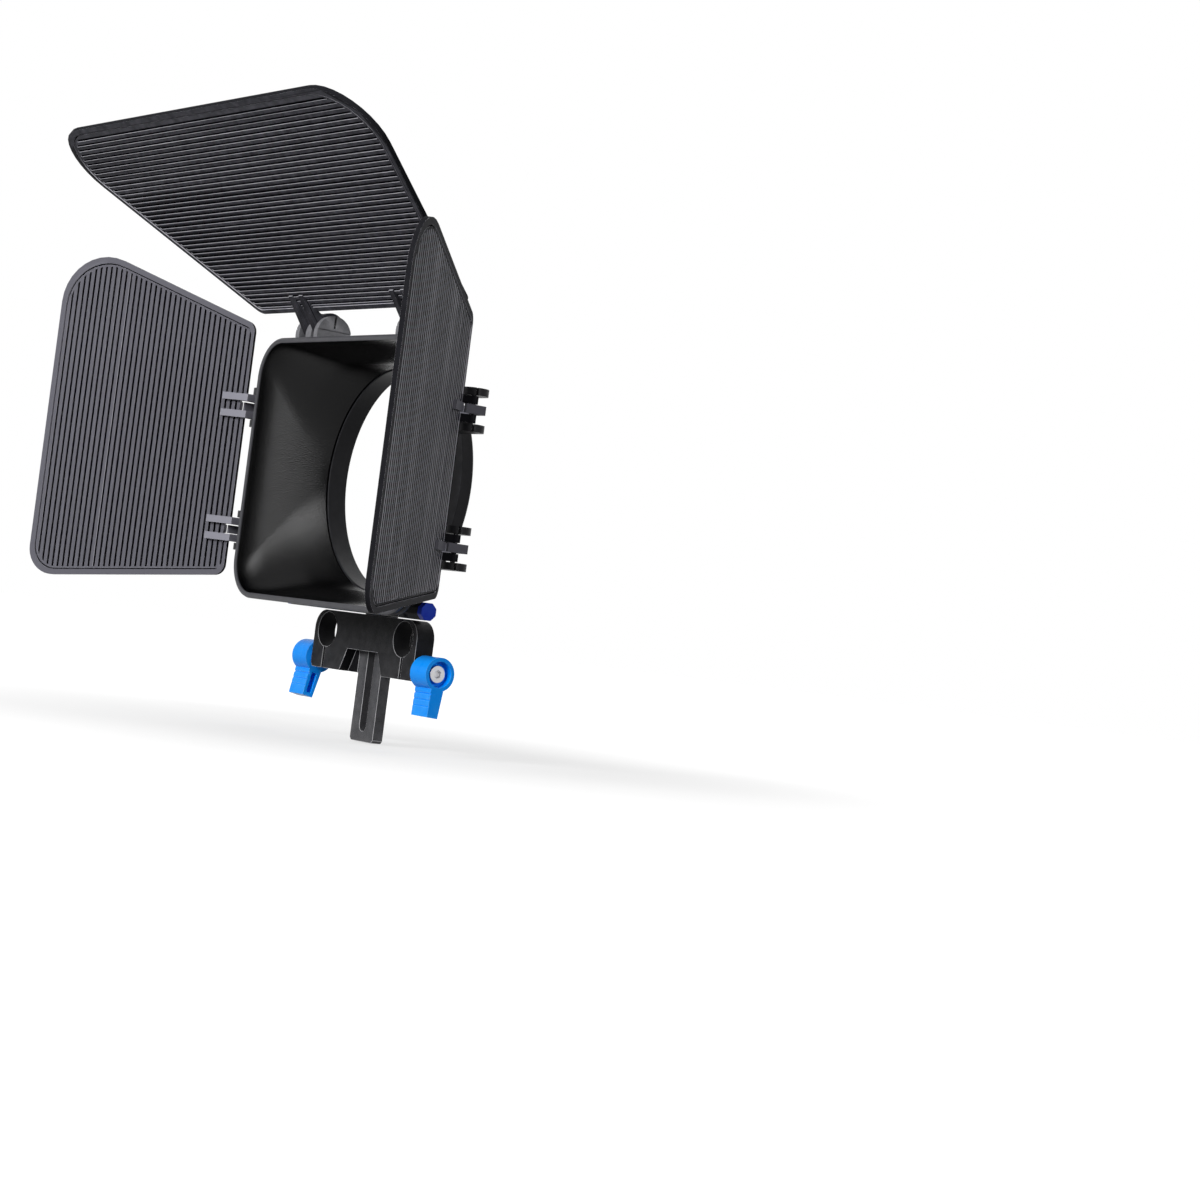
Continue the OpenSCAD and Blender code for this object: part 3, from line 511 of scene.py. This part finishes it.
# solid that fills the funnel up to the middle of its wall, to trim what is rooted in it
def funnelPlug(shape):
    bm = bmesh.new()
    inset = shape["wall"] / 2
    loops = []
    for y in [shape["front"] - shape["plugAhead"]] + taperPlaces(shape) + [shape["plugEnd"]]:
        wide, high, corner = (size - inset for size in hoodSection(shape, y))
        loops.append(ringAt(bm, wide, high, corner, y, shape["segments"]))
    for first, second in zip(loops, loops[1:]):
        bmesh.ops.bridge_loops(bm, edges=first + second)
    for loop in (loops[0], loops[-1]):
        bmesh.ops.contextual_create(bm, geom=loop)
    return bm


def cutWith(piece, bm):
    mesh = bpy.data.meshes.new("cutter")
    cleanMesh(bm)
    bm.to_mesh(mesh)
    bm.free()
    cutter = bpy.data.objects.new("cutter", mesh)
    scene.collection.objects.link(cutter)
    cut = piece.modifiers.new("cut", "BOOLEAN")
    cut.operation = "DIFFERENCE"
    cut.object = cutter
    cut.solver = "EXACT"
    bpy.context.view_layer.update()
    ready = piece.evaluated_get(bpy.context.evaluated_depsgraph_get())
    done = bpy.data.meshes.new_from_object(ready)
    piece.modifiers.clear()
    piece.data = done
    bpy.data.objects.remove(cutter)


# a piece moulded on the hood: cut to shape, trimmed to the funnel, with soft edges
def addMoulding(name, bm, material, width, cuts=None):
    piece = addPiece(name, bm, "hood_body", material)
    if cuts:
        cutWith(piece, cuts)
    cutWith(piece, funnelPlug(hoodShape))
    softEdge(piece, width)


# two ears and a stop bar at each height, made for the right side and turned over for the left
def buildSideEars(part):
    pinX, pinY = part["pin"]
    ears, bars, cuts = bmesh.new(), bmesh.new(), bmesh.new()
    halfSlit, over = part["slit"] / 2, part["slitOver"]
    outer = pinX + part["barGap"] + part["barThick"]
    back = pinY + part["barBack"]
    for height in part["heights"]:
        for low in (height + part["near"], height - part["near"] - part["thick"]):
            strip(ears, (pinX - part["setIn"], pinY + part["setBack"]), part, low)
            boxSolid(cuts, (pinX, pinY - halfSlit, low - over),
                     (pinX + part["slitDeep"], pinY + halfSlit, low + part["thick"] + over))
        bottom, top = height - part["barHalf"], height + part["barHalf"]
        boxSolid(bars, (pinX + part["barGap"], pinY - part["barFront"], bottom),
                 (outer, back, top))
        boxSolid(bars, (part["barRoot"], back - part["barThick"], bottom + tiny),
                 (outer - part["barStep"], back - tiny, top - tiny))
    bmesh.ops.recalc_face_normals(ears, faces=ears.faces)
    for side in ("right", "left"):
        copies = [mesh.copy() for mesh in (ears, bars, cuts)]
        if side == "left":
            for mesh in copies:
                bmesh.ops.scale(mesh, verts=mesh.verts, vec=(-1, 1, 1))
                bmesh.ops.reverse_faces(mesh, faces=mesh.faces)
        addMoulding(side + "Ears", copies[0], "hoodBlack", part["soft"], copies[2])
        # stop bars take the flags' lit charcoal, lighter than the hood's black: painted light
        addMoulding(side + "StopBars", copies[1], "flagLitCharcoal", part["soft"])
    for mesh in (ears, bars, cuts):
        mesh.free()


# a disc whose lower half is drawn down to a foot, then stood up at x
def dome(bm, x, thick, part, radius):
    made = bmesh.ops.create_circle(bm, cap_ends=True, segments=part["sides"], radius=radius)
    for vert in made["verts"]:
        if vert.co.x > tiny:
            inside = abs(vert.co.y) < radius * nearlyOne
            vert.co.x = part["foot"] * vert.co.x / radius if inside else 0
    both = made["verts"] + thicken(bm, made["verts"], thick)
    bmesh.ops.rotate(bm, verts=both, matrix=Matrix.Rotation(math.pi / 2, 3, "Y"))
    bmesh.ops.translate(bm, verts=both, vec=(x, part["pin"][0], part["pin"][1] - part["drop"]))


# a low lug between two ears, each with a slit above its pin and a line across its outer face
def buildTopEars(part):
    pinY, pinZ = part["pin"]
    halfSlit, over, line = part["slit"] / 2, part["slitOver"], part["line"]
    lineTop = pinZ - part["lineDrop"]
    for name, centre in zip(("leftTopEars", "rightTopEars"), part["places"]):
        bm, cuts = bmesh.new(), bmesh.new()
        for x in (centre - part["near"] - part["thick"], centre + part["near"]):
            dome(bm, x, part["thick"], part, part["radius"])
            boxSolid(cuts, (x - over, pinY - halfSlit, pinZ),
                     (x + part["thick"] + over, pinY + halfSlit, pinZ + part["slitHigh"]))
            outer = x + part["thick"] if x > centre else x
            boxSolid(cuts, (outer - line, pinY - part["lineHalf"], lineTop - line),
                     (outer + line, pinY + part["lineHalf"], lineTop))
        dome(bm, centre - part["lugHalf"], 2 * part["lugHalf"], part,
             part["radius"] - part["lugLess"])
        bmesh.ops.recalc_face_normals(bm, faces=bm.faces)
        # grey finish on the top ears: painted light
        addMoulding(name, bm, "earPaintedLight", part["soft"], cuts)


buildSideEars(sideHinge)
buildTopEars(topHinge)

# lugs below the hood, for the thumb screws
hoodLug = {
    "inside": 0.0378, "outside": 0.0413, "front": -0.0195, "rear": -0.0129,
    "low": -0.0571, "high": -0.036, "soft": 0.0005,
}


def buildLugs(part):
    for name, side in (("leftLug", -1), ("rightLug", 1)):
        bm = bmesh.new()
        near, far = sorted((side * part["inside"], side * part["outside"]))
        boxSolid(bm, (near, part["front"], part["low"]), (far, part["rear"], part["high"]))
        addMoulding(name, bm, "hoodBlack", part["soft"])


buildLugs(hoodLug)
print("hinge ears and lugs made")

# flags: rounded rib crests, a crisp step inside the rim, soft outer edges
flagEdges = {
    # soft widths
    "widest": 0.0004, "crest": 0.0002, "step": 0.00007, "outer": 0.00038, "arm": 0.00022,
    "segments": 3, "fold": 0.6,
    # how high the walls are
    "grooveDeep": 0.00035, "rimDeep": 0.00055, "stepDeep": 0.0002, "plate": 0.002,
    "depthError": 0.0001,
    # heights over the middle plane at which the finish changes
    "floorLevel": 0.00045, "levelError": 0.00008, "crestLevel": 0.0008, "outerLevel": -0.0012,
    "knuckle": -0.0024, "upright": 0.1,
}
# slots of the flag finishes: floor holds painted groove shade, wall a painted highlight, outer
# painted shade
flagSlots = {"floor": 1, "wall": 2, "arm": 3, "black": 4, "outer": 5}
# side flags' inner faces take the lit charcoal and the top flag's underside the shaded black:
# painted light and painted shade
flags = [
    {
        "node": "left_flag", "name": "leftFlag", "body": "left_flag_body",
        "across": (math.cos(math.radians(56)), -math.sin(math.radians(56)), 0),  # through the plate
        "pin": (-0.0852, -0.0287, 0),  # a point of the hinge axis
        "middle": 0.0044,  # height of the middle plane over it
        "arms": (0.0025, 0.0035),  # heights of the arms' faces
        "armFinish": "armPaintedReflection", "innerFinish": "flagLitCharcoal",
    },
    {
        "node": "right_flag", "name": "rightFlag", "body": "right_flag_body",
        "across": (-math.cos(math.radians(42)), -math.sin(math.radians(42)), 0),
        "pin": (0.0852, -0.0287, 0), "middle": 0.0044, "arms": (0.0025, 0.0035),
        "armFinish": "armPaintedReflection", "innerFinish": "flagLitCharcoal",
    },
    {
        "node": "top_flag", "name": "topFlag", "body": "top_flag_body",
        "across": (0, math.sin(math.radians(34)), math.cos(math.radians(34))),
        "pin": (0, -0.026, 0.0623), "middle": 0.0014, "arms": (-0.02, -0.0012),
        "armFinish": "armBlack", "innerFinish": "flagShadedDark",
    },
]


# soft width that suits an upright wall of the flag, told from how high the wall is
def wallWidth(wall, across, sizes):
    levels = [vert.co.dot(across) for vert in wall.verts]
    deep = max(levels) - min(levels)
    widths = {"grooveDeep": "crest", "rimDeep": "step", "stepDeep": "step", "plate": "outer"}
    closest = min(widths, key=lambda name: abs(deep - sizes[name]))
    if abs(deep - sizes[closest]) > sizes["depthError"]:
        return sizes["arm"]
    return sizes[widths[closest]]


def edgeWidth(edge, across, sizes):
    flat = [abs(face.normal.dot(across)) > nearlyOne for face in edge.link_faces]
    if flat.count(True) == 2:
        return 0
    if flat.count(True) == 0:
        return sizes["arm"]
    return wallWidth(edge.link_faces[flat.index(False)], across, sizes)


# which finish a face takes, told from its height over the middle plane and the way it faces
def flagFinish(level, facing, arms, sizes):
    isWall = abs(facing) < sizes["upright"]
    offFloor = abs(level) - sizes["floorLevel"]
    # groove floors take the near-black finish: painted shade
    if abs(facing) > nearlyOne and abs(offFloor) < sizes["levelError"]:
        return flagSlots["floor"]
    if arms[0] < level < arms[1]:
        return flagSlots["arm"]
    if level < sizes["knuckle"] or (isWall and offFloor < 0):
        return flagSlots["black"]
    # low walls between groove floor and crest take the bright edge finish: painted highlight
    if isWall and offFloor > 0 and abs(level) < sizes["crestLevel"]:
        return flagSlots["wall"]
    # outer faces take the shaded black copy: painted shade
    if facing < -nearlyOne and level > sizes["outerLevel"]:
        return flagSlots["outer"]
    return 0


def buildFlag(part, sizes):
    across = Vector(part["across"])
    bm = nodeShape(part["node"])
    for face in bm.faces:
        level = (face.calc_center_median() - Vector(part["pin"])).dot(across) - part["middle"]
        face.material_index = flagFinish(level, face.normal.dot(across), part["arms"], sizes)
    layer = bm.edges.layers.float.new("bevel_weight_edge")
    for edge in bm.edges:
        if len(edge.link_faces) == 2 and edge.is_convex and edge.calc_face_angle() > sizes["fold"]:
            edge[layer] = edgeWidth(edge, across, sizes) / sizes["widest"]
    piece = addPiece(part["name"], bm, part["body"], part["innerFinish"])
    for extra in ("flagGrooveShade", "flagEdge", part["armFinish"], "armBlack", "flagShadedDark"):
        piece.data.materials.append(materials[extra])
    # the soft edges take the bright edge finish: painted highlight
    bevel = softEdge(piece, sizes["widest"], flagSlots["wall"])
    bevel.limit_method = "WEIGHT"
    bevel.segments = sizes["segments"]
    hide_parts(part["node"])


for flag in flags:
    buildFlag(flag, flagEdges)
print("flags made")

# pins, ring and the metal parts keep their CAD shapes with soft edges:
# node, piece name, body, slot, finish, soft width
softened = [
    ("rear_ring", "rearRing", "hood_body", "hood_plastic", "hoodBlack", 0.0003),
    ("mounting_plate", "mountingPlate", "hood_body", "black_metal", "clampBlack", 0.00028),
    ("height_bar", "heightBar", "hood_body", "black_metal", "barSpeckle", 0.0003),
    ("rod_clamp", "rodClamp", "clamp", "black_metal", "clampBlack", 0.0003),
    ("left_lever", "leftLever", "left_lever_body", "blue_metal", "blueAnodised", 0.0004),
    ("right_lever", "rightLever", "right_lever_body", "blue_metal", "blueAnodised", 0.0004),
    ("lock_knob", "lockKnob", "lock_body", "black_metal", "clampBlack", 0.0006),
    ("left_jaw_bolt", "leftJawBolt", "left_lever_body", "steel", "turnedSteel", 0.0002),
    ("right_jaw_bolt", "rightJawBolt", "right_lever_body", "steel", "turnedSteel", 0.0002),
    ("left_jaw_washer", "leftJawWasher", "clamp", "steel", "turnedSteel", 0.0001),
    ("right_jaw_washer", "rightJawWasher", "clamp", "steel", "turnedSteel", 0.0001),
    ("lock_stud", "lockStud", "lock_body", "steel", "turnedSteel", 0.0003),
    ("lock_washer", "lockWasher", "clamp", "steel", "turnedSteel", 0.0001),
    ("bar_screws", "barScrews", "hood_body", "steel", "turnedSteel", 0.0002),
    ("left_upper_hinge_pin", "leftUpperPin", "hood_body", "black_metal", "clampBlack", 0.0002),
    ("left_lower_hinge_pin", "leftLowerPin", "hood_body", "black_metal", "clampBlack", 0.0002),
    ("right_upper_hinge_pin", "rightUpperPin", "hood_body", "black_metal", "clampBlack", 0.0002),
    ("right_lower_hinge_pin", "rightLowerPin", "hood_body", "black_metal", "clampBlack", 0.0002),
    ("left_top_hinge_pin", "leftTopPin", "hood_body", "black_metal", "clampBlack", 0.0002),
    ("right_top_hinge_pin", "rightTopPin", "hood_body", "black_metal", "clampBlack", 0.0002),
]
# black and blue metal parts take a brighter finish on their soft edges: painted highlight
edgeHighlightFinish = {"clampBlack": "clampEdgeHighlight", "barSpeckle": "clampEdgeHighlight", "blueAnodised": "blueEdgeHighlight"}
for node, name, body, slotName, material, edge in softened:
    piece = addPiece(name, nodeShape(node), body, material)
    if material in edgeHighlightFinish:
        piece.data.materials.append(materials[edgeHighlightFinish[material]])
    softEdge(piece, edge, 1 if material in edgeHighlightFinish else -1)
    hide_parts(node)
print("softened pieces:", len(softened))

# thumb screws: blue ends, and a black band of the head next to the hood
thumbBand = {
    "capStart": 0.0515, "edge": 0.0004, "axis": (-0.0162, -0.0535),
    "shank": 0.0017, "shrink": 0.965,  # the shank clears the facets of its hole as it turns
}


def buildThumbs(part):
    for node, name, body, side in (
        ("left_thumb_screw", "leftThumbScrew", "left_thumb", -1),
        ("right_thumb_screw", "rightThumbScrew", "right_thumb", 1),
    ):
        bm = nodeShape(node)
        bmesh.ops.bisect_plane(
            bm, geom=bm.verts[:] + bm.edges[:] + bm.faces[:], dist=tiny,
            plane_co=(side * part["capStart"], 0, 0), plane_no=(1, 0, 0),
        )
        for face in bm.faces:
            if side * face.calc_center_median().x < part["capStart"]:
                face.material_index = 1
        shank = [v for v in bm.verts if math.dist(v.co.yz, part["axis"]) < part["shank"]]
        bmesh.ops.scale(bm, verts=shank, vec=(1, part["shrink"], part["shrink"]),
                        space=Matrix.Translation((0, -part["axis"][0], -part["axis"][1])))
        # navy finish on the thumb screws: painted shade
        piece = addPiece(name, bm, body, "thumbShadedBlue")
        piece.data.materials.append(materials["clampBlack"])
        softEdge(piece, part["edge"])
        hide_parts(node)


buildThumbs(thumbBand)
print("thumb screws made")

# floor, world and lamps
studio = {
    "floorZ": -0.1116, "floorSize": 12.0, "floorColour": (0.30, 0.30, 0.30),
    "floorRough": 0.8, "floorSpecular": 0.1, "fadeStart": 0.1, "fadeEnd": 0.4, "floorGlow": 0.62,
    "worldLight": 0.09, "aim": (0, -0.03, 0),
    "lamps": [
        # name, place, size, power
        ("keyLamp", (0.55, -1.78, 0.65), 0.9, 36),
        ("sideLamp", (1.95, -0.25, 0.35), 0.3, 7),
        ("backLamp", (-0.6, 1.5, 1.0), 0.9, 6),
    ],
}


# what the camera, metal and glass see, without lighting the object
def seenDirectly(tree):
    path = tree.nodes.new("ShaderNodeLightPath")
    seen = mathNode(tree, "MAXIMUM", path.outputs["Is Camera Ray"], path.outputs["Is Glossy Ray"])
    return mathNode(tree, "MAXIMUM", seen, path.outputs["Is Transmission Ray"])


def buildWorld(room):
    scene.world = bpy.data.worlds.new("studioWorld")
    scene.world.use_nodes = True
    tree = scene.world.node_tree
    plain = tree.nodes["Background"]
    plain.inputs["Strength"].default_value = room["worldLight"]
    white = tree.nodes.new("ShaderNodeBackground")
    mix = tree.nodes.new("ShaderNodeMixShader")
    for shader in (plain, white):
        shader.inputs["Color"].default_value = (1, 1, 1, 1)
    tree.links.new(seenDirectly(tree), mix.inputs[0])
    tree.links.new(plain.outputs[0], mix.inputs[1])
    tree.links.new(white.outputs[0], mix.inputs[2])
    tree.links.new(mix.outputs[0], tree.nodes["World Output"].inputs["Surface"])


# pale paint with a glow that grows with distance, so the floor fades into the background
def floorPaint(room):
    paint = bpy.data.materials.new("floorPaint")
    paint.use_nodes = True
    tree = paint.node_tree
    shader = tree.nodes["Principled BSDF"]
    shader.inputs["Base Color"].default_value = (*room["floorColour"], 1)
    shader.inputs["Roughness"].default_value = room["floorRough"]
    shader.inputs["Specular IOR Level"].default_value = room["floorSpecular"]
    where = tree.nodes.new("ShaderNodeTexCoord")
    away = tree.nodes.new("ShaderNodeVectorMath")
    away.operation = "LENGTH"
    tree.links.new(where.outputs["Object"], away.inputs[0])
    fade = tree.nodes.new("ShaderNodeMapRange")
    fade.inputs["From Min"].default_value = room["fadeStart"]
    fade.inputs["From Max"].default_value = room["fadeEnd"]
    fade.inputs["To Min"].default_value = room["floorGlow"]
    fade.inputs["To Max"].default_value = 1.0
    tree.links.new(away.outputs["Value"], fade.inputs["Value"])
    glow = tree.nodes.new("ShaderNodeEmission")
    strength = mathNode(tree, "MULTIPLY", seenDirectly(tree), fade.outputs[0])
    tree.links.new(strength, glow.inputs["Strength"])
    both = tree.nodes.new("ShaderNodeAddShader")
    tree.links.new(shader.outputs[0], both.inputs[0])
    tree.links.new(glow.outputs[0], both.inputs[1])
    tree.links.new(both.outputs[0], tree.nodes["Material Output"].inputs["Surface"])
    return paint


def buildStudio(room):
    buildWorld(room)
    bm = bmesh.new()
    bmesh.ops.create_grid(bm, x_segments=1, y_segments=1, size=room["floorSize"] / 2)
    bmesh.ops.translate(bm, verts=bm.verts, vec=(0, 0, room["floorZ"]))
    mesh = bpy.data.meshes.new("floor")
    bm.to_mesh(mesh)
    bm.free()
    mesh.materials.append(floorPaint(room))
    floor = bpy.data.objects.new("floor", mesh)
    scene.collection.objects.link(floor)
    for name, place, size, power in room["lamps"]:
        lamp = bpy.data.lights.new(name, "AREA")
        lamp.shape = "DISK"
        lamp.size = size
        lamp.energy = power
        holder = bpy.data.objects.new(name, lamp)
        scene.collection.objects.link(holder)
        holder.location = place
        way = Vector(room["aim"]) - Vector(place)
        holder.rotation_euler = way.to_track_quat("-Z", "Y").to_euler()


buildStudio(studio)
print("studio set")
